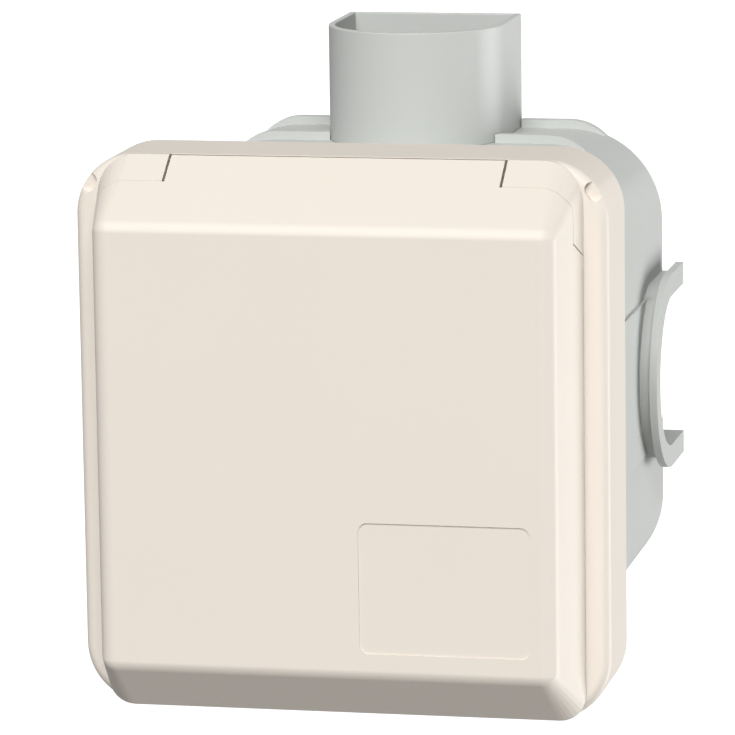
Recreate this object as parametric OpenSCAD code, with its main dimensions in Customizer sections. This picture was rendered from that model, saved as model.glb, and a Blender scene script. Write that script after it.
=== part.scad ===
// Flush-mounted industrial wall socket: a plastic box let into the wall, a
// cover frame standing on the wall, a five-pole contact insert held in the
// frame, and a sprung lid hinged between two ears of the frame.
// Origin: middle of the frame's rear edge, in the wall plane. +Y goes into
// the wall, -Y towards the user, +Z up. All lengths in millimetres.

/* [Cover frame] */
// Width of the cover frame
frame_w = 121; // [117:1:130]
// Height of the cover frame
frame_h = 126.6; // [123:0.1:136]
// Depth of the cover frame, wall to front face
frame_d = 22.5; // [20:0.5:28]
// Corner radius of the frame outline
frame_r = 14; // [11:0.5:18]
// Wall thickness of the frame
frame_t = 2.5; // [2:0.1:3]
// Rounding of the frame's front edge
frame_edge_r = 2.2; // [1:0.1:2.4]
// Depth of the small corner dimples
dimple_depth = 1.6; // [0.8:0.1:2]

/* [Lid] */
// Half width of the lid at its rim
lid_half_w = 55.1; // [53:0.1:55.6]
// Height of the lid in front of the frame
lid_d = 19.5; // [17:0.5:24]
// Slope of the top and bottom bevels, degrees from the horizontal
bevel_angle = 34; // [28:1:38]
// Draft of the side walls, degrees
side_draft = 10.3; // [6:0.1:14]
// Rounding between the front face and the bevels
lid_edge_r = 4.1; // [3.4:0.1:5]
// Corner radius of the lid rim, lower corners
lid_low_r = 6; // [5:0.5:8]
// Corner radius of the bevelled front, upper corners
lid_top_r = 9; // [7:0.5:11]
// Wall thickness of the lid
lid_t = 2.2; // [1.8:0.1:2.4]
// Gap between the lid rim and the frame
lid_gap = 0.3; // [0.2:0.05:0.5]
// Width of the recessed label field
field_w = 38.5; // [30:0.5:40]
// Height of the recessed label field
field_h = 29.6; // [20:0.1:32]
// Depth of the label field
field_depth = 0.35; // [0.2:0.05:0.6]

/* [Hinge] */
// Half width of the lid knuckle between the slits
knuckle_half_w = 37.8; // [34:0.1:39]
// Width of the slits beside the knuckle
slit_w = 0.6; // [0.4:0.1:1]
// Distance of the lid's upper seam in front of the frame face
seam_y = 7.1; // [6.5:0.1:8]
// Distance of the ears' side seam in front of the frame face
ear_side_y = 6.1; // [5.5:0.1:6.4]
// Height of the lower end of the ears above the frame centre
ear_low_z = 42.4; // [41:0.1:44]
// Depth of the hinge axis under the bevel
axis_depth = 4; // [3.7:0.1:4.1]
// Distance of the hinge axis behind the upper seam, along the bevel
axis_back = 4.4; // [4.2:0.1:4.8]
// Diameter of the hinge pin
pin_d = 2.2; // [2:0.1:2.4]
// Radial clearance of the pin in the lid
pin_clear = 0.06; // [0.03:0.01:0.1]
// Running clearance round the knuckle
hinge_clear = 0.4; // [0.3:0.05:0.5]
// Thickness of the cheeks of the ears, which hold the pin
cheek_t = 4; // [3:0.5:5]
// Wire diameter of the lid spring
spring_wire = 0.7; // [0.5:0.1:0.8]
// Number of coils on each half of the lid spring
spring_coils = 6; // [4:1:8]

/* [Contact insert] */
// Height of the insert axis above the frame centre
insert_z = -5; // [-6:0.5:-3]
// Inner diameter of the plug opening
mouth_d = 60; // [59:0.5:60.5]
// Wall of the plug opening
mouth_t = 2.2; // [1.8:0.1:2.6]
// How far the plug opening stands in front of the frame face
mouth_out = 12.5; // [11:0.5:13]
// Depth of the plug opening
mouth_depth = 41; // [36:1:44]
// Diameter of the contact carrier
carrier_d = 48; // [47:0.2:49]
// Recess of the carrier face behind the rim
carrier_in = 6; // [4.5:0.5:8]
// Radius of the circle on which the contacts lie
contact_r = 16.3; // [15.5:0.1:17]
// Diameter of the phase and neutral pins that go in
pole_d = 5; // [4.8:0.1:5.2]
// Diameter of the earth pin that goes in
earth_d = 7; // [6.8:0.1:7.2]
// Diameter of the mounting flange
flange_d = 78; // [74:1:82]
// Thickness of the mounting flange
flange_t = 3; // [2.5:0.5:4]
// Radius of the circle of the four insert screws
insert_screw_r = 35.2; // [34.8:0.1:35.6]

/* [Flush box] */
// Width of the box
box_w = 110; // [108:0.5:112]
// Height of the box
box_h = 111; // [109:0.5:114]
// Depth of the box behind the wall plane
box_d = 87; // [85:0.5:92]
// Corner radius of the box
box_r = 22; // [19:0.5:23]
// Wall thickness of the box
box_t = 2.2; // [1.8:0.1:2.6]
// Height of the two ribs on top
rib_h = 2; // [1:0.1:2.5]
// Thickness of the ribs
rib_t = 2.5; // [2:0.1:3]
// Distance of the front rib behind the wall plane
rib_y = 58; // [55:0.5:60]
// Sideways distance of the cover screws
screw_x = 45.5; // [45:0.1:46]
// Height of the cover screws
screw_z = 37; // [36:0.5:38]
// Diameter of the cover screws
screw_d = 3.5; // [3:0.1:4]
// Length of the cover screws under the head
screw_l = 41; // [38:1:46]
// Diameter of the fixing holes in the rear wall
rear_hole_d = 4.5; // [4:0.1:5]
// Distance between the two fixing holes in the rear wall
rear_hole_gap = 60; // [50:1:66]

/* [Side collar and duct] */
// Inner radius of the side collar
collar_in_r = 18; // [17.6:0.1:18.4]
// Outer radius of the collar neck
collar_neck_r = 21; // [20.6:0.1:21.4]
// Outer radius of the collar flange
collar_out_r = 23.2; // [22.8:0.1:24]
// How far the collar stands out of the box
collar_out = 5.1; // [4.5:0.1:6]
// Thickness of the collar flange
collar_flange_t = 1.8; // [1.5:0.1:2.2]
// Radius of the opening through the box wall
wall_hole_r = 15; // [14:0.1:16]
// Width of the duct tube
duct_w = 42; // [41:0.5:43]
// Depth of the duct tube
duct_d = 42.5; // [42:0.5:44]
// Wall of the duct tube
duct_t = 1.6; // [1.4:0.1:2]
// Height of the duct tube above the box
duct_h = 27.3; // [24:0.1:40]

/* [Hidden] */
$fn = 64;
// Facets round the corners of the hulls
hull_fn = 32;
// A cut passes this far beyond the face that it opens
over = 1;
// Thickness of a sheet that only spans a hull
skin = 0.01;

// Colours
cream = [0.90, 0.87, 0.82];
grey = [0.74, 0.76, 0.74];
red = [0.72, 0.10, 0.08];
rubber = [0.16, 0.16, 0.17];
brass = [0.80, 0.66, 0.35];
steel = [0.70, 0.71, 0.73];

// Frame face and outer ends of the bevelled front
face_y = -frame_d;
front_y = face_y - lid_d;
top_z = frame_h / 2;
// Centre of the edge rounding along the lid's front
edge_y = front_y + lid_edge_r;
edge_x = lid_half_w - (lid_d - lid_edge_r) * tan(side_draft) - lid_edge_r / cos(side_draft);
edge_z = top_z - (lid_d - lid_edge_r) * tan(bevel_angle) - lid_edge_r / cos(bevel_angle);
// Upper seam between lid and ears
foot_y = face_y - seam_y;
foot_z = top_z - seam_y * tan(bevel_angle);
// Hinge axis: behind the seam and under the bevel, so that the lid's end
// face, round about the axis, passes over the ears as the lid opens
axis_y = foot_y + axis_back * cos(bevel_angle) + axis_depth * sin(bevel_angle);
axis_z = foot_z + axis_back * sin(bevel_angle) - axis_depth * cos(bevel_angle);
seam_r = norm([axis_back, axis_depth]);
// Radius of the knuckle's back about the axis, and of the trough behind it
tail_r = norm([face_y + 0.05 - axis_y, top_z - 0.15 - axis_z]);
trough_r = tail_r + hinge_clear;
web_t = 2;
web_x = 14;
side_gap = 0.3;
pin_end = knuckle_half_w + slit_w + cheek_t - 0.8;
// Spring coil radius and the hollow that it turns in
ring_r = pin_d / 2 + 0.15 + spring_wire / 2;
coil_room_r = ring_r + spring_wire / 2 + 0.35;
coil_x = 4;
pitch = spring_wire * 0.95;
leg_angle = 62;
leg_slot_h = 3.9;
leg_x = coil_x + (spring_coils - 1) * pitch;
// Label field, lower right on the lid
field_x = 26.9;
field_z = -29.9;
field_r = 2.2;
// Insert
mouth_y = face_y - mouth_out;
mouth_r = mouth_d / 2;
mouth_floor_y = mouth_y + mouth_depth;
floor_t = 2.5;
carrier_y = mouth_y + carrier_in;
carrier_wall = 3;
carrier_fit = 0.15;
lip_w = 2;
lip_t = 1.2;
plate_y = mouth_floor_y + floor_t;
plate_t = 2.5;
plate_d = mouth_d + 2 * mouth_t - 1;
plate_screw_r = (carrier_d / 2 + mouth_r + mouth_t) / 2;
gasket_t = 0.9;
flange_y = face_y + frame_t + gasket_t;
frame_hole_r = mouth_r + mouth_t + 0.3;
key_w = 6;
key_h = 1.4;
pole_bore_r = pole_d / 2 + 0.2;
earth_bore_r = earth_d / 2 + 0.2;
sleeve_wall = 0.9;
clip_t = 0.6;
clip_l = 5;
clip_in = 2;
clip_slot = 1.2;
chamber_clear = 0.1;
contact_len = 24;
block_len = 12;
block_w = 7.6;
terminal_screw_in = 4.5;
terminal_y = plate_y + plate_t;
pole_angles = [-18, 54, 126, 198];
earth_angle = 270;
// Box
box_front_y = 0.5;
seal_w = 4.5;
seal_d = 3.9;
seal_gap = 0.3;
boss_r = 4.2;
boss_front_y = 2;
boss_len = 34;
nut_len = 9;
nut_r = 2.9;
// Collar and duct
collar_y = box_d - 17.3;
duct_r = duct_w / 2;
duct_front_y = box_d - duct_d;
duct_centre_y = duct_front_y + duct_r;
spigot_clear = 0.1;
spigot_t = 2.4;
spigot_h = 5;
strip_h = 0.7;
strip_w = 37;
rib_w = 90;
rib_r = 12;
rib_block = 40;
washer_t = 1;
washer_r = 3.6;
head_r = 3.4;
head_h = 2.4;

// Rounded rectangle, centred
module round_rect(w, h, r) {
    square([w - 2 * r, h], center = true);
    square([w, h - 2 * r], center = true);
    for (x = [-1, 1], y = [-1, 1])
        translate([x * (w / 2 - r), y * (h / 2 - r)]) circle(r);
}

// Turns an outline drawn in X and Z into a solid from y0 to y1
module along_y(y0, y1) {
    translate([0, y1, 0]) rotate([90, 0, 0]) linear_extrude(y1 - y0) children();
}

// Turns an outline drawn in Y and Z into a solid from x0 to x1
module along_x(x0, x1) {
    translate([x0, 0, 0]) rotate([90, 0, 90]) linear_extrude(x1 - x0) children();
}

// Cylinder along Y
module rod_y(r, y0, y1) {
    translate([0, y1, 0]) rotate([90, 0, 0]) cylinder(r = r, h = y1 - y0);
}

// Cylinder along X
module rod_x(r, x0, x1) {
    translate([x0, 0, 0]) rotate([0, 90, 0]) cylinder(r = r, h = x1 - x0);
}

// Places its children on the insert axis
module on_insert() {
    translate([0, 0, insert_z]) children();
}

// Places its children on the hinge axis
module on_axis() {
    translate([0, axis_y, axis_z]) children();
}

// Runs a wall profile round a rounded rectangle. The profile's x is the
// distance out from the corner centre, its y the distance in front of the wall.
module run_round(w, h, r) {
    rotate([90, 0, 0])
        for (k = [0:3]) {
            a = k % 2 == 0 ? w : h;
            b = k % 2 == 0 ? h : w;
            rotate([0, 0, 90 * k]) {
                translate([a / 2 - r, b / 2 - r, 0])
                    rotate_extrude(angle = 90) children();
                translate([a / 2 - r, b / 2 - r, 0])
                    rotate([90, 0, 0]) linear_extrude(b - 2 * r) children();
            }
        }
}

// U outline in Y and Z, open towards the rear, round towards the front
module u_outline(r, centre_y, rear_y) {
    intersection() {
        translate([centre_y, 0]) circle(r);
        translate([centre_y - 2 * r, -2 * r])
            square([rear_y - centre_y + 2 * r, 4 * r]);
    }
    translate([centre_y, -r]) square([rear_y - centre_y, 2 * r]);
}

// The same outline in X and Y, for the duct
module duct_outline(inset, rear_y) {
    translate([0, duct_centre_y]) circle(duct_r - inset);
    translate([inset - duct_r, duct_centre_y])
        square([duct_w - 2 * inset, rear_y - duct_centre_y]);
}

// Bevelled front that lid and ears share, shrunk by t on every side
module bevelled_front(t) {
    hull() {
        for (x = [-1, 1], z = [-1, 1])
            translate([x * edge_x, edge_y, z * edge_z])
                sphere(r = lid_edge_r - t, $fn = hull_fn);
        for (x = [-1, 1]) {
            translate([x * (lid_half_w - t / cos(side_draft) - lid_low_r + t), 0,
                       t / cos(bevel_angle) - top_z + lid_low_r - t])
                rotate([90, 0, 0]) translate([0, 0, -face_y])
                    cylinder(r = lid_low_r - t, h = skin, $fn = hull_fn);
            translate([x * (lid_half_w - t / cos(side_draft) - lid_top_r + t), 0,
                       top_z - t / cos(bevel_angle) - lid_top_r + t])
                rotate([90, 0, 0]) translate([0, 0, -face_y])
                    cylinder(r = lid_top_r - t, h = skin, $fn = hull_fn);
        }
    }
}

// Side view of the space that belongs to the ears, grown by g: round about
// the hinge axis at the seam, slanted at the lower end
module ear_zone(g) {
    polygon([
        [face_y + 6, ear_low_z - g],
        [face_y, ear_low_z - g],
        [face_y - ear_side_y - g, ear_low_z + 3.6 - g],
        [face_y - ear_side_y - g, axis_z],
        [axis_y, axis_z],
        [axis_y, top_z + 4],
        [face_y + 6, top_z + 4]
    ]);
    translate([axis_y, axis_z]) circle(seam_r + g);
}

// Places its children over the width of both ears, from the inner side
module both_ears(w) {
    for (x = [knuckle_half_w + slit_w, -knuckle_half_w - slit_w - w])
        along_x(x, x + w) children();
}

module flush_box() {
    inner_w = box_w - 2 * box_t;
    inner_h = box_h - 2 * box_t;
    color(grey)
    difference() {
        union() {
            // Side walls and floor in one run, floor filled in the middle
            run_round(box_w, box_h, box_r)
                translate([0, -box_d]) difference() {
                    square([box_r, box_d - box_front_y]);
                    translate([-over, box_t])
                        square([box_r - box_t + over, box_d]);
                }
            along_y(box_d - box_t, box_d)
                square([box_w - 2 * box_r, box_h - 2 * box_r], center = true);
            // Two ribs across the top, cut off inside the wall
            for (y = [rib_y, box_d - rib_t])
                along_y(y, y + rib_t) difference() {
                    translate([0, box_h / 2 + rib_h - rib_block / 2])
                        round_rect(rib_w, rib_block, rib_r);
                    round_rect(box_w - box_t, box_h - box_t, box_r - box_t / 2);
                    translate([-box_w / 2, -box_h])
                        square([box_w, box_h * 1.4]);
                }
            // Raised strips on both side walls
            for (x = [box_w / 2 - box_t / 2, -box_w / 2 - strip_h])
                along_x(x, x + box_t / 2 + strip_h)
                    translate([boss_front_y, -strip_w / 2])
                        square([collar_y - 9, strip_w]);
            // Coupling collar on the right wall
            along_x(box_w / 2 - box_t / 2, box_w / 2 + collar_out - collar_flange_t)
                u_outline(collar_neck_r, collar_y, box_d);
            along_x(box_w / 2 + collar_out - collar_flange_t, box_w / 2 + collar_out)
                u_outline(collar_out_r, collar_y, box_d);
            // Spigot for the duct tube
            translate([0, 0, box_h / 2 - box_t / 2])
                linear_extrude(spigot_h + box_t / 2)
                    duct_outline(duct_t + spigot_clear, box_d - duct_t - spigot_clear);
            // Screw bosses with webs to the side walls
            for (x = [-1, 1], z = [-1, 1]) {
                translate([x * screw_x, 0, z * screw_z])
                    rod_y(boss_r, boss_front_y, boss_front_y + boss_len);
                along_y(boss_front_y, boss_front_y + boss_len)
                    translate([x * (screw_x + inner_w / 2) / 2, z * screw_z])
                        square([inner_w / 2 - screw_x + box_t, 3], center = true);
            }
        }
        // Openings through the right and top walls, open to the rear
        along_x(box_w / 2 - box_t - over, box_w / 2 + 0.2 + box_t / 2)
            u_outline(wall_hole_r, collar_y, box_d + over);
        along_x(box_w / 2, box_w / 2 + collar_out + over)
            u_outline(collar_in_r, collar_y, box_d + over);
        translate([0, 0, box_h / 2 - box_t - over])
            linear_extrude(spigot_h + box_t + 2 * over)
                duct_outline(duct_t + spigot_clear + spigot_t,
                             box_d - duct_t - spigot_clear - spigot_t);
        // Room for the duct tube in the ribs
        translate([0, 0, box_h / 2])
            linear_extrude(spigot_h + over)
                difference() {
                    duct_outline(-side_gap, box_d + over);
                    duct_outline(duct_t + spigot_clear, box_d - duct_t - spigot_clear);
                }
        // Knock-out grooves on the left and lower walls
        along_x(-box_w / 2 - strip_h - over, -box_w / 2 + 0.8)
            difference() {
                u_outline(wall_hole_r + 1, collar_y, box_d - box_t);
                u_outline(wall_hole_r, collar_y, box_d - box_t + over);
            }
        translate([0, 0, -box_h / 2 - over]) linear_extrude(over + 0.8)
            difference() {
                circle_and_tail(wall_hole_r + 1, box_d - box_t);
                circle_and_tail(wall_hole_r, box_d - box_t + over);
            }
        // Seats of the threaded inserts, and the rear fixing holes
        for (x = [-1, 1], z = [-1, 1])
            translate([x * screw_x, 0, z * screw_z]) {
                rod_y(nut_r, boss_front_y - over, boss_front_y + nut_len);
                rod_y(screw_d / 2 + 0.3, boss_front_y, boss_front_y + boss_len - 3);
            }
        for (x = [-1, 1])
            translate([x * rear_hole_gap / 2, 0, 0])
                rod_y(rear_hole_d / 2, box_d - box_t - over, box_d + over);
    }
}

// U outline in X and Y on the collar's centre line
module circle_and_tail(r, rear_y) {
    translate([0, collar_y]) circle(r);
    translate([-r, collar_y]) square([2 * r, rear_y - collar_y]);
}

module duct_tube() {
    color(grey)
    translate([0, 0, box_h / 2]) linear_extrude(duct_h) difference() {
        duct_outline(0, box_d);
        duct_outline(duct_t, box_d - duct_t);
    }
}

module box_inserts() {
    color(brass)
    for (x = [-1, 1], z = [-1, 1])
        translate([x * screw_x, 0, z * screw_z]) difference() {
            rod_y(nut_r, boss_front_y, boss_front_y + nut_len);
            rod_y(screw_d / 2 + 0.03, boss_front_y - over, boss_front_y + nut_len + over);
        }
}

// Frame wall and front rim, from the corner centre outwards
module frame_profile() {
    difference() {
        square([frame_r, frame_d]);
        translate([-over, -over])
            square([frame_r - frame_t + over, frame_d - frame_t + over]);
        translate([frame_r - frame_edge_r, frame_d - frame_edge_r]) difference() {
            square(frame_edge_r + over);
            circle(frame_edge_r);
        }
    }
    // Shelf behind the gasket
    translate([frame_r - frame_t - 5, 4]) square([5 + frame_t / 2, 2]);
}

module cover_frame() {
    color(cream)
    difference() {
        union() {
            difference() {
                union() {
                    run_round(frame_w, frame_h, frame_r) frame_profile();
                    along_y(face_y, face_y + frame_t)
                        square([frame_w - 2 * frame_r, frame_h - 2 * frame_r], center = true);
                    // Back of the trough behind the lid knuckle
                    intersection() {
                        on_axis() rod_x(trough_r + frame_t, -knuckle_half_w - slit_w - frame_t,
                                        knuckle_half_w + slit_w + frame_t);
                        along_y(face_y + 0.5, face_y + 14)
                            translate([-frame_w / 2, 0]) square([frame_w, top_z - 0.5]);
                    }
                    // Ears: the upper corners of the bevelled front
                    intersection() {
                        difference() {
                            bevelled_front(0);
                            bevelled_front(lid_t);
                        }
                        both_ears(frame_w / 2 - knuckle_half_w - slit_w) ear_zone(0);
                    }
                    // Roots of the ears, behind the frame's face
                    intersection() {
                        along_y(face_y, face_y + frame_t)
                            round_rect(2 * lid_half_w, frame_h, lid_top_r);
                        both_ears(frame_w / 2 - knuckle_half_w - slit_w) ear_zone(0);
                    }
                    // Inner cheeks that close the ears and hold the pin
                    intersection() {
                        bevelled_front(lid_t / 2);
                        both_ears(cheek_t) ear_zone(0);
                    }
                }
                // Trough for the knuckle
                on_axis() rod_x(trough_r, -knuckle_half_w - slit_w, knuckle_half_w + slit_w);
            }
        }
        // Plug opening
        on_insert() rod_y(frame_hole_r, face_y - over, 0);
        on_insert() for (a = [45:90:315]) rotate([0, a, 0])
            translate([insert_screw_r, 0, 0]) rod_y(1.3, face_y + 0.8, 0);
        // Holes of the cover screws
        for (x = [-1, 1], z = [-1, 1])
            translate([x * screw_x, 0, z * screw_z])
                rod_y(screw_d / 2 + 0.3, face_y - over, face_y + frame_t + over);
        // Bores of the hinge pin in the cheeks
        on_axis() rod_x(pin_d / 2 + 0.02, -pin_end - 0.1, pin_end + 0.1);
        // Dimples in the upper corners
        for (s = [-1, 1])
            translate([s * (frame_w / 2 - frame_r), face_y, top_z - frame_r])
                rotate([0, s == 1 ? -34 : 214, 0])
                    translate([frame_r - 1.1, 0, 0]) {
                        for (z = [-0.7, 0.7]) translate([0, 0, z])
                            rod_y(1.5, -over, dimple_depth);
                        translate([-1.5, -over, -0.7]) cube([3, over + dimple_depth, 1.4]);
                    }
    }
}

module frame_gasket() {
    color(rubber)
    run_round(frame_w, frame_h, frame_r)
        translate([frame_r - frame_t - seal_w - seal_gap, 0]) square([seal_w, seal_d]);
}

module cover_screws() {
    color(steel)
    for (x = [-1, 1], z = [-1, 1])
        translate([x * screw_x, face_y - washer_t, z * screw_z]) difference() {
            union() {
                rod_y(head_r, -head_h, 0);
                rod_y(screw_d / 2, -skin, screw_l);
            }
            // Cross recess
            for (a = [0, 90]) rotate([0, a, 0])
                translate([-2, -head_h - over, -0.4]) cube([4, over + 1.4, 0.8]);
        }
}

module screw_washers() {
    color(rubber)
    for (x = [-1, 1], z = [-1, 1])
        translate([x * screw_x, face_y - washer_t, z * screw_z]) difference() {
            rod_y(washer_r, 0, washer_t);
            rod_y(screw_d / 2 + 0.05, -over, washer_t + over);
        }
}

module insert_housing() {
    color(cream)
    on_insert() difference() {
        union() {
            rod_y(mouth_r + mouth_t, mouth_y, plate_y);
            rod_y(flange_d / 2, flange_y, flange_y + flange_t);
        }
        rod_y(mouth_r, mouth_y - over, mouth_floor_y);
        rod_y(carrier_d / 2 + carrier_fit, mouth_floor_y - over, plate_y + over);
        rod_y(carrier_d / 2 + lip_w + carrier_fit, plate_y - lip_t, plate_y + over);
        // Keyway at the bottom of the opening
        translate([-key_w / 2, mouth_y - over, -mouth_r - key_h])
            cube([key_w, mouth_depth + over, key_h + 2]);
        for (a = [45:90:315]) rotate([0, a, 0])
            translate([insert_screw_r, 0, 0])
                rod_y(1.7, flange_y - over, flange_y + flange_t + over);
        for (a = [30:120:270]) rotate([0, a, 0])
            translate([plate_screw_r, 0, 0])
                rod_y(1.05, mouth_floor_y + 0.3, plate_y + over);
    }
}

module insert_gasket() {
    color(rubber)
    on_insert() difference() {
        rod_y(flange_d / 2 - 0.5, face_y + frame_t, flange_y);
        rod_y(mouth_r + mouth_t + 0.2, face_y, flange_y + over);
        for (a = [45:90:315]) rotate([0, a, 0])
            translate([insert_screw_r, 0, 0]) rod_y(1.6, face_y, flange_y + over);
    }
}

module insert_screws() {
    color(steel)
    on_insert() for (a = [45:90:315]) rotate([0, a, 0])
        translate([insert_screw_r, flange_y + flange_t, 0]) {
            rod_y(2.8, 0, 2);
            rod_y(1.28, -flange_t - 2.4, skin);
        }
}

// Places its children at each pole, on the contact circle
module at_poles() {
    for (a = pole_angles) rotate([0, -a, 0]) translate([contact_r, 0, 0]) children();
}

module at_earth() {
    rotate([0, -earth_angle, 0]) translate([contact_r, 0, 0]) children();
}

// Chamber for one contact: pin hole in the face, room for the sleeve behind
module contact_room(bore_r, pin_r) {
    rod_y(bore_r, carrier_y - over, terminal_y + over);
    rod_y(pin_r + sleeve_wall + clip_t + chamber_clear, carrier_y + carrier_wall,
          terminal_y + over);
}

// The five chambers, through carrier and plate
module contact_rooms() {
    at_poles() contact_room(pole_bore_r, pole_d / 2);
    at_earth() contact_room(earth_bore_r, earth_d / 2);
}

module contact_carrier() {
    color(red)
    on_insert() difference() {
        union() {
            rod_y(carrier_d / 2, carrier_y, plate_y);
            // Lip that the plate clamps in the floor of the housing
            rod_y(carrier_d / 2 + lip_w, plate_y - lip_t, plate_y);
        }
        contact_rooms();
    }
}

module terminal_plate() {
    color(red)
    on_insert() difference() {
        union() {
            rod_y(plate_d / 2, plate_y, terminal_y);
            // Partitions between the terminals
            rod_y(4, terminal_y - skin, terminal_y + block_len + 2);
            for (a = [18:72:342]) rotate([0, -a, 0])
                translate([0, terminal_y - skin, -0.8])
                    cube([carrier_d / 2 - 0.5, block_len + 2, 1.6]);
        }
        contact_rooms();
        for (a = [30:120:270]) rotate([0, a, 0])
            translate([plate_screw_r, 0, 0])
                rod_y(1.3, plate_y - over, terminal_y + over);
    }
}

// One contact: slotted sleeve in front, clamping block behind
module contact(pin_r) {
    wall_r = pin_r + sleeve_wall;
    front = terminal_y - contact_len;
    difference() {
        union() {
            rod_y(wall_r, front, terminal_y + 0.5);
            translate([-block_w / 2, terminal_y + 0.2, -block_w / 2])
                cube([block_w, block_len - 0.2, block_w]);
        }
        rod_y(pin_r + 0.05, front - over, terminal_y - 3);
        // Slots that let the sleeve spring
        translate([-wall_r - over, front - over, -0.35])
            cube([2 * wall_r + 2 * over, 14, 0.7]);
        // Wire hole from behind, screw hole from outside
        rod_y(1.9, terminal_y + 2, terminal_y + block_len + over);
        translate([0, terminal_y + block_len - terminal_screw_in, 0]) rod_x(1.55, 0, block_w);
    }
}

module pole_contacts() {
    color(brass) on_insert() at_poles() contact(pole_d / 2);
}

module earth_contact() {
    color(brass) on_insert() at_earth() contact(earth_d / 2);
}

// Spring ring round one sleeve
module clip(pin_r) {
    y = terminal_y - contact_len + clip_in;
    difference() {
        rod_y(pin_r + sleeve_wall + clip_t, y, y + clip_l);
        rod_y(pin_r + sleeve_wall, y - over, y + clip_l + over);
        translate([0, y - over, -clip_slot / 2])
            cube([pin_r + 4, clip_l + 2 * over, clip_slot]);
    }
}

module contact_clips() {
    color(steel) on_insert() {
        at_poles() clip(pole_d / 2);
        at_earth() clip(earth_d / 2);
    }
}

module terminal_screws() {
    y = terminal_y + block_len - terminal_screw_in;
    color(steel) on_insert() {
        at_poles() terminal_screw(y);
        at_earth() terminal_screw(y);
    }
}

module terminal_screw(y) {
    translate([0, y, 0]) difference() {
        union() {
            rod_x(1.5, 1.5, block_w / 2 + 1.8);
            rod_x(2.4, block_w / 2 + 0.6, block_w / 2 + 2.6);
        }
        translate([block_w / 2 + 1.6, -2.6, -0.4]) cube([over + 1, 5.2, 0.8]);
    }
}

module carrier_screws() {
    color(steel)
    on_insert() for (a = [30:120:270]) rotate([0, a, 0])
        translate([plate_screw_r, terminal_y, 0]) {
            rod_y(2, 0, 1.6);
            rod_y(1.03, 0.6 - plate_t - floor_t, skin);
        }
}

module hinge_pin() {
    color(steel) on_axis() rod_x(pin_d / 2, -pin_end, pin_end);
}

// Section through one half of the coil, wire by wire
module coil_profile() {
    translate([ring_r - spring_wire / 4, coil_x])
        square([spring_wire / 2, (spring_coils - 1) * pitch]);
    for (k = [0:spring_coils - 1])
        translate([ring_r, coil_x + k * pitch]) circle(spring_wire / 2, $fn = 16);
}

// Torsion spring: rings side by side on the pin, a bow that pushes the lid
// down and two legs that stand on the trough
module lid_spring() {
    bow_l = 9;
    bow_h = axis_depth - lid_t - spring_wire / 2 - 0.25;
    bow_start = sqrt(ring_r ^ 2 - bow_h ^ 2) - 0.05;
    leg_wire = spring_wire * 0.86;
    color(steel) on_axis() {
        for (s = [-1, 1]) mirror([s == 1 ? 0 : 1, 0, 0]) rotate([0, 90, 0])
            rotate_extrude($fn = 32) coil_profile();
        // Bow along the underside of the bevel
        rotate([bevel_angle, 0, 0]) {
            for (s = [-1, 1])
                translate([s * coil_x, 0, bow_h]) rod_y(leg_wire / 2, -bow_l, -bow_start);
            translate([0, -bow_l, bow_h])
                rod_x(spring_wire / 2, -coil_x - spring_wire, coil_x + spring_wire);
        }
        // Legs down to the trough
        for (s = [-1, 1])
            translate([s * leg_x, 0, 0])
                rotate([-90 - leg_angle, 0, 0]) translate([0, -ring_r, -0.1])
                    cylinder(d = leg_wire, h = sqrt(trough_r ^ 2 - (ring_r + 1) ^ 2));
    }
}

module lid() {
    seal_r = mouth_r + mouth_t / 2;
    rim_y = face_y - lid_gap;
    color(cream)
    difference() {
        union() {
            difference() {
                bevelled_front(0);
                bevelled_front(lid_t);
                // Rim gap over the frame face
                along_y(rim_y, face_y + over)
                    square([frame_w + 2 * over, frame_h + 2 * over], center = true);
                // The upper corners belong to the ears
                for (x = [knuckle_half_w, -frame_w])
                    along_x(x, x + frame_w - knuckle_half_w) ear_zone(lid_gap);
            }
            // Knuckle: back skirt round the axis, joined to the bevel
            intersection() {
                on_axis() difference() {
                    rod_x(tail_r, -knuckle_half_w, knuckle_half_w);
                    rod_x(tail_r - lid_t, -knuckle_half_w - over, knuckle_half_w + over);
                }
                along_x(-knuckle_half_w, knuckle_half_w)
                    translate([axis_y, axis_z - tail_r]) square([2 * tail_r, 3 * tail_r]);
                bevel_side(0);
            }
            // Webs that carry the pin, and end walls of the knuckle
            intersection() {
                on_axis() for (x = [-knuckle_half_w, -web_x - web_t, web_x,
                                    knuckle_half_w - web_t])
                    rod_x(tail_r, x, x + web_t);
                bevel_side(lid_t / 2);
            }
            // Two ribs that hold the seal
            on_insert() for (r = [seal_r - 3.6, seal_r + 2.6])
                difference() {
                    rod_y(r + 1, front_y + lid_t - 0.2, front_y + lid_t + 2.6);
                    rod_y(r, front_y + lid_t - over, front_y + lid_t + 2.6 + over);
                }
        }
        // Bore for the pin, and room for the coils
        on_axis() {
            rod_x(pin_d / 2 + pin_clear, -knuckle_half_w - over, knuckle_half_w + over);
            rod_x(coil_room_r, side_gap - web_x, web_x - side_gap);
            // Slots in the knuckle's back for the legs of the spring
            for (x = [-leg_x, leg_x])
                translate([x - spring_wire, -side_gap, -tail_r - over])
                    cube([2 * spring_wire, 2 * tail_r, tail_r + over + leg_slot_h]);
        }
        // Label field
        along_y(front_y - over, front_y + field_depth)
            translate([field_x, field_z]) round_rect(field_w, field_h, field_r);
    }
}

// Everything under the bevel plane, in front of and behind the frame face
module bevel_side(inset) {
    along_x(-frame_w / 2, frame_w / 2)
        polygon([
            [foot_y - 12, foot_z - 12 * tan(bevel_angle) - inset],
            [foot_y + 14, foot_z + 14 * tan(bevel_angle) - inset],
            [foot_y + 14, foot_z - 40],
            [foot_y - 12, foot_z - 40]
        ]);
}

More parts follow.
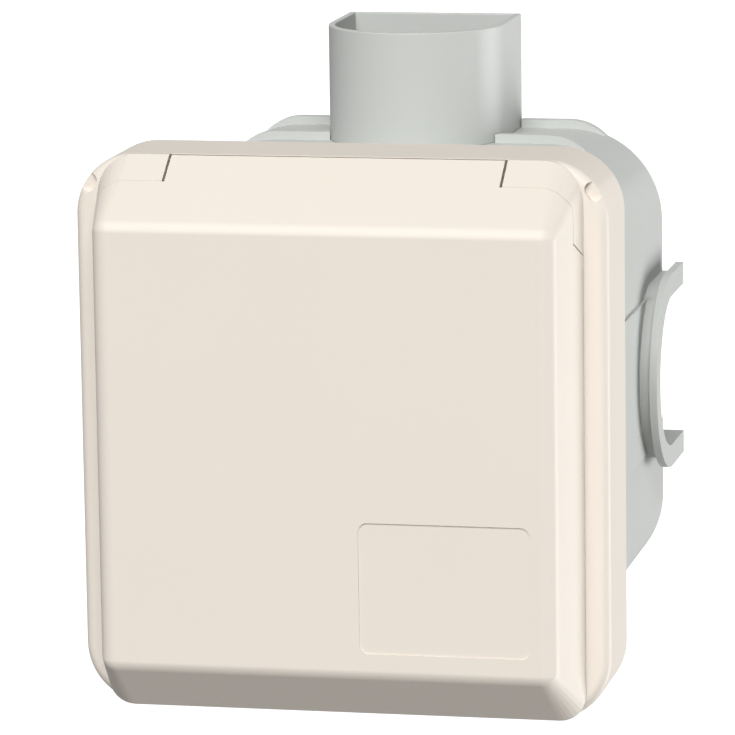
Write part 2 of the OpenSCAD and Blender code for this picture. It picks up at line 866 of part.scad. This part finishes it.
module lid_seal() {
    seal_r = mouth_r + mouth_t / 2;
    color(rubber)
    on_insert() difference() {
        rod_y(seal_r + 2.5, front_y + lid_t + 2 * skin, mouth_y - lid_gap);
        rod_y(seal_r - 2.5, front_y, mouth_y);
    }
}

flush_box();
duct_tube();
box_inserts();
cover_frame();
frame_gasket();
cover_screws();
screw_washers();
insert_housing();
insert_gasket();
insert_screws();
contact_carrier();
terminal_plate();
pole_contacts();
earth_contact();
contact_clips();
terminal_screws();
carrier_screws();
hinge_pin();
lid_spring();
lid();
lid_seal();
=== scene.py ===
import math
import bpy
from mathutils import Matrix, Vector


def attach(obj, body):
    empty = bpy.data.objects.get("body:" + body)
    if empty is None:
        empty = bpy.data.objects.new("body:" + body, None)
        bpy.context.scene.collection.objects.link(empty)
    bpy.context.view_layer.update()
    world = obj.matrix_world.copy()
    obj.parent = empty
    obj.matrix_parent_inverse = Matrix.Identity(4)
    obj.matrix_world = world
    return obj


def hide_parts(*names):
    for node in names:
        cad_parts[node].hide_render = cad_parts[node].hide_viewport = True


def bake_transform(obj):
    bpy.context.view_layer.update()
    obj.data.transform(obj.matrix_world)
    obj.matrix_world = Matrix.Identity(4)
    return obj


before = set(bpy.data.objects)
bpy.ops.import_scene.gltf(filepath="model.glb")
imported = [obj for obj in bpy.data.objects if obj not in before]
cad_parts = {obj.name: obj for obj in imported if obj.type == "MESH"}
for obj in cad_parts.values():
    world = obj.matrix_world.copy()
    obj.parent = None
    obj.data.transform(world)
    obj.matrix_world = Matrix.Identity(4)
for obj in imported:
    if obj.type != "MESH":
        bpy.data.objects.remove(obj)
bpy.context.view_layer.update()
scene = bpy.context.scene
bpy.ops.object.select_all(action="DESELECT")

# ---------------------------------------------------------------- camera
# A long lens in front, a little to the right of the socket and above it.
yaw, pitch, roll = (math.radians(a) for a in (12.429, 10.475, -0.825))
look = Vector((-math.sin(yaw) * math.cos(pitch), math.cos(yaw) * math.cos(pitch), -math.sin(pitch)))
level = Vector((math.cos(yaw), math.sin(yaw), 0))
rise = level.cross(look)
right = math.cos(roll) * level + math.sin(roll) * rise
up = -math.sin(roll) * level + math.cos(roll) * rise
camera_data = bpy.data.cameras.new("camera")
camera_data.sensor_width = 36
camera_data.sensor_fit = "HORIZONTAL"
camera_data.lens = 5212.9 / 735 * 36
camera_data.clip_end = 20
camera = bpy.data.objects.new("camera", camera_data)
camera.matrix_world = Matrix((
    (right.x, up.x, -look.x, 0.25180),
    (right.y, up.y, -look.y, -1.13722),
    (right.z, up.z, -look.z, 0.22716),
    (0, 0, 0, 1)))
scene.collection.objects.link(camera)
scene.camera = camera
scene.view_settings.view_transform = "Standard"


# ---------------------------------------------------------------- studio
# White studio: a soft key from the front and above, a soft fill from the
# right and below, an even dim surround, and a pale floor under the socket.
class Shade:
    """Maths on shader sockets: each operation adds its own Math node."""
    tree = None

    def __init__(self, socket):
        self.socket = socket

    @classmethod
    def node(cls, kind, settings=None, out=0, **values):
        made = cls.tree.nodes.new(kind)
        for key, value in (settings or {}).items():
            if key == "stops":
                ramp = made.color_ramp.elements
                while len(ramp) < len(value):
                    ramp.new(0.5)
                for stop, (place, colour) in zip(ramp, value):
                    stop.position = place
                    stop.color = (*colour, 1)
            else:
                setattr(made, key, value)
        for key, value in values.items():
            socket = made.inputs[int(key[1:])] if key[1:].isdigit() else made.inputs[key.replace("_", " ")]
            if isinstance(value, Shade):
                cls.tree.links.new(value.socket, socket)
            else:
                socket.default_value = value
        return cls(made.outputs[out]) if made.outputs else None

    def maths(self, operation, *others):
        values = {f"i{k}": v for k, v in enumerate(others)}
        return Shade.node("ShaderNodeMath", {"operation": operation}, **values)

    def __add__(self, other):
        return self.maths("ADD", self, other)
    __radd__ = __add__

    def __mul__(self, other):
        return self.maths("MULTIPLY", self, other)
    __rmul__ = __mul__

    def __sub__(self, other):
        return self.maths("SUBTRACT", self, other)

    def __rsub__(self, other):
        return self.maths("SUBTRACT", other, self)

    def clamp(self, low=0.0, high=1.0):
        return Shade.node("ShaderNodeClamp", i0=self, i1=low, i2=high)


def sun(name, towards, strength, spread):
    data = bpy.data.lights.new(name, "SUN")
    data.energy = strength
    data.angle = math.radians(spread)
    lamp = bpy.data.objects.new(name, data)
    lamp.rotation_euler = Vector(towards).to_track_quat("Z", "Y").to_euler()
    scene.collection.objects.link(lamp)


sun("key", (0.06, -0.77, 0.62), 3.7, 40)
sun("fill", (0.87, 0.42, -0.42), 3.4, 50)

world = bpy.data.worlds.new("surround")
scene.world = world
world.use_nodes = True
Shade.tree = world.node_tree
world.node_tree.nodes.clear()
path = Shade.node("ShaderNodeLightPath")
seen = (path + Shade(path.socket.node.outputs["Is Glossy Ray"]) * 0.55
        + Shade(path.socket.node.outputs["Is Transmission Ray"])).clamp()
surround = Shade.node("ShaderNodeBackground", Color=(1, 1, 1, 1), Strength=seen * 0.80 + 0.20)
Shade.node("ShaderNodeOutputWorld", Surface=surround)

bpy.ops.mesh.primitive_plane_add(size=8, location=(0, 0, -0.30))
floor = bpy.context.object
floor.name = "floor"
floor.visible_shadow = False
paper = bpy.data.materials.new("paper")
paper.use_nodes = True
Shade.tree = paper.node_tree
paper.node_tree.nodes.clear()
path = Shade.node("ShaderNodeLightPath")
matt = Shade.node("ShaderNodeBsdfDiffuse", Color=(0.32, 0.32, 0.32, 1))
glow = Shade.node("ShaderNodeEmission", Color=(1, 1, 1, 1), Strength=path * 0.9)
both = Shade.node("ShaderNodeAddShader", i0=matt, i1=glow)
Shade.node("ShaderNodeOutputMaterial", Surface=both)
floor.data.materials.append(paper)


# ------------------------------------------------------------- flush box
# Recessed box, injection-moulded in grey plastic: one shell with ribs on
# top, a flanged coupling collar at the right and the spigot of the duct.
def plastic(name, colour, grain, gloss, drift=0.025, size=0.00055):
    """Moulded plastic: fine spark-eroded grain, slow drift of the tone, and
    a little more gloss where the mould was smoother."""
    made = bpy.data.materials.new(name)
    made.use_nodes = True
    Shade.tree = made.node_tree
    made.node_tree.nodes.clear()
    place = Shade.node("ShaderNodeTexCoord", out=3)
    flow = Shade.node("ShaderNodeTexNoise", Vector=place, Scale=28.0, Detail=3.0, Roughness=0.5)
    speck = Shade.node("ShaderNodeTexNoise", Vector=place, Scale=1 / size, Detail=2.0, Roughness=0.6)
    smear = Shade.node("ShaderNodeTexNoise", Vector=place, Scale=140.0, Detail=4.0, Roughness=0.6)
    darker = tuple(c * (1 - 2 * drift) for c in colour)
    lighter = tuple(min(1, c * (1 + drift)) for c in colour)
    tone = Shade.node("ShaderNodeMix", {"data_type": "RGBA"}, out=2,
                      i0=(flow * 0.7 + speck * 0.3).clamp(), i6=(*darker, 1), i7=(*lighter, 1))
    dull = (gloss - 0.07) + smear * 0.1 + speck * 0.05
    bump = Shade.node("ShaderNodeBump", Strength=grain, Distance=0.0001, Height=speck * 0.7 + smear * 0.3)
    skin = Shade.node("ShaderNodeBsdfPrincipled", Base_Color=tone, Roughness=dull, Normal=bump, IOR=1.5)
    Shade.node("ShaderNodeOutputMaterial", Surface=skin)
    return made


def dress(node, material, width=0.0003, segments=2, body="base", angle=32, join=True):
    """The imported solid's mesh with its doubles merged, flat faces joined and
    its sharp edges broken by a small radius, as the mould leaves them."""
    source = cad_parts[node]
    piece = bpy.data.objects.new(node + "_moulded", source.data.copy())
    scene.collection.objects.link(piece)
    bpy.ops.object.select_all(action="DESELECT")
    bpy.context.view_layer.objects.active = piece
    piece.select_set(True)
    piece.data.materials.clear()
    piece.data.materials.append(material)
    for face in piece.data.polygons:
        face.material_index = 0
    bpy.ops.object.mode_set(mode="EDIT")
    bpy.ops.mesh.select_all(action="SELECT")
    bpy.ops.mesh.remove_doubles(threshold=1e-6)
    if join:
        bpy.ops.mesh.dissolve_limited(angle_limit=math.radians(0.4))
    bpy.ops.mesh.select_all(action="DESELECT")
    bpy.ops.object.mode_set(mode="OBJECT")
    if width:
        rounding = piece.modifiers.new("rounding", "BEVEL")
        rounding.width = width
        rounding.segments = segments
        rounding.limit_method = "ANGLE"
        rounding.angle_limit = math.radians(angle)
        rounding.miter_outer = "MITER_ARC"
        rounding.use_clamp_overlap = True
        bpy.ops.object.modifier_apply(modifier="rounding")
    bpy.ops.object.shade_smooth_by_angle(angle=math.radians(38))
    level = piece.modifiers.new("level", "WEIGHTED_NORMAL")
    level.mode = "FACE_AREA_WITH_ANGLE"
    level.weight = 50
    level.keep_sharp = True
    bpy.ops.object.modifier_apply(modifier="level")
    if body:
        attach(piece, body)
    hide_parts(node)
    return piece


grey = plastic("grey_plastic", (0.487, 0.502, 0.481), 0.35, 0.5)
dress("flush_box", grey, 0.0003, join=False)

# ------------------------------------------------------------- duct tube
# Cut length of cable duct of the same grey plastic, pushed over the spigot.
dress("duct_tube", grey, 0.00025)

# ----------------------------------------------------------- box inserts
# Threaded brass inserts pressed into the bosses of the box.


def metal(name, colour, gloss, lines=0.12):
    """Drawn or turned metal with fine scratches and small dull patches."""
    made = bpy.data.materials.new(name)
    made.use_nodes = True
    Shade.tree = made.node_tree
    made.node_tree.nodes.clear()
    place = Shade.node("ShaderNodeTexCoord", out=3)
    stretched = Shade.node("ShaderNodeMapping", Vector=place, Scale=(1, 0.12, 1))
    lathe = Shade.node("ShaderNodeTexNoise", Vector=stretched, Scale=2600.0, Detail=3.0)
    patch = Shade.node("ShaderNodeTexNoise", Vector=place, Scale=260.0, Detail=3.0)
    duller = tuple(c * 0.82 for c in colour)
    tone = Shade.node("ShaderNodeMix", {"data_type": "RGBA"}, out=2,
                      i0=patch, i6=(*duller, 1), i7=(*colour, 1))
    dull = gloss + patch * 0.16 + lathe * 0.08
    bump = Shade.node("ShaderNodeBump", Strength=lines, Distance=0.00005, Height=lathe)
    skin = Shade.node("ShaderNodeBsdfPrincipled", Base_Color=tone, Roughness=dull, Metallic=1.0, Normal=bump)
    Shade.node("ShaderNodeOutputMaterial", Surface=skin)
    return made


brass = metal("brass", (0.80, 0.62, 0.32), 0.22)
steel = metal("steel", (0.66, 0.67, 0.69), 0.25)
dress("box_inserts", brass, 0.0002)

# ----------------------------------------------------------- cover frame
# Cream frame that stands on the wall; its two ears hold the lid's pin.
cream = plastic("cream_plastic", (0.700, 0.641, 0.572), 0.12, 0.54, 0.012, 0.0007)
dress("cover_frame", cream, 0.0002)

# --------------------------------------------------------- frame gasket
# Foam rubber ring in the rear of the frame, pressed against the wall.


def rubber_skin(name, colour):
    made = bpy.data.materials.new(name)
    made.use_nodes = True
    Shade.tree = made.node_tree
    made.node_tree.nodes.clear()
    place = Shade.node("ShaderNodeTexCoord", out=3)
    cell = Shade.node("ShaderNodeTexVoronoi", Vector=place, Scale=1500.0)
    cloud = Shade.node("ShaderNodeTexNoise", Vector=place, Scale=120.0, Detail=4.0)
    dusty = tuple(c * 1.9 for c in colour)
    tone = Shade.node("ShaderNodeMix", {"data_type": "RGBA"}, out=2,
                      i0=(cloud * 0.6 + cell * 0.2).clamp(), i6=(*colour, 1), i7=(*dusty, 1))
    bump = Shade.node("ShaderNodeBump", Strength=0.3, Distance=0.0001, Height=cell)
    skin = Shade.node("ShaderNodeBsdfPrincipled", Base_Color=tone, Roughness=cloud * 0.15 + 0.68, Normal=bump)
    Shade.node("ShaderNodeOutputMaterial", Surface=skin)
    return made


rubber = rubber_skin("black_rubber", (0.018, 0.018, 0.020))
dress("frame_gasket", rubber, 0.0004)

# ------------------------------------------------- cover screws, washers
# Cross-head steel screws with rubber washers, under the closed lid.
dress("cover_screws", steel, 0.0001)
dress("screw_washers", rubber, 0.0002)

# ------------------------------------------------------- contact insert
# Collar of the plug opening, screwed to the frame from behind over a flat
# gasket, and the red carrier with its brass sleeves.
dress("insert_housing", cream, 0.0003)
dress("insert_gasket", rubber, 0.0)
dress("insert_screws", steel, 0.0002)
red = plastic("red_plastic", (0.48, 0.016, 0.012), 0.2, 0.36, 0.05)
dress("contact_carrier", red, 0.00025)
dress("terminal_plate", red, 0.0002)
dress("pole_contacts", brass, 0.0001)
dress("earth_contact", brass, 0.0001)
dress("contact_clips", steel, 0.0)
dress("terminal_screws", steel, 0.0001)
dress("carrier_screws", steel, 0.0)

# ---------------------------------------------------- hinge pin, spring
# Steel pin from ear to ear, and the torsion spring that closes the lid; the spring's transform is baked into
# its mesh and it is attached to no body.
dress("hinge_pin", steel, 0.0001)
spring = dress("lid_spring", steel, 0.0, body=None)
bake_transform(spring)

# ------------------------------------------------------------------ lid
# Bevelled cream lid, one moulding with its knuckle, and its ring seal.
dress("lid", cream, 0.0002, body="lid_body")
dress("lid_seal", rubber, 0.0004, body="lid_body")
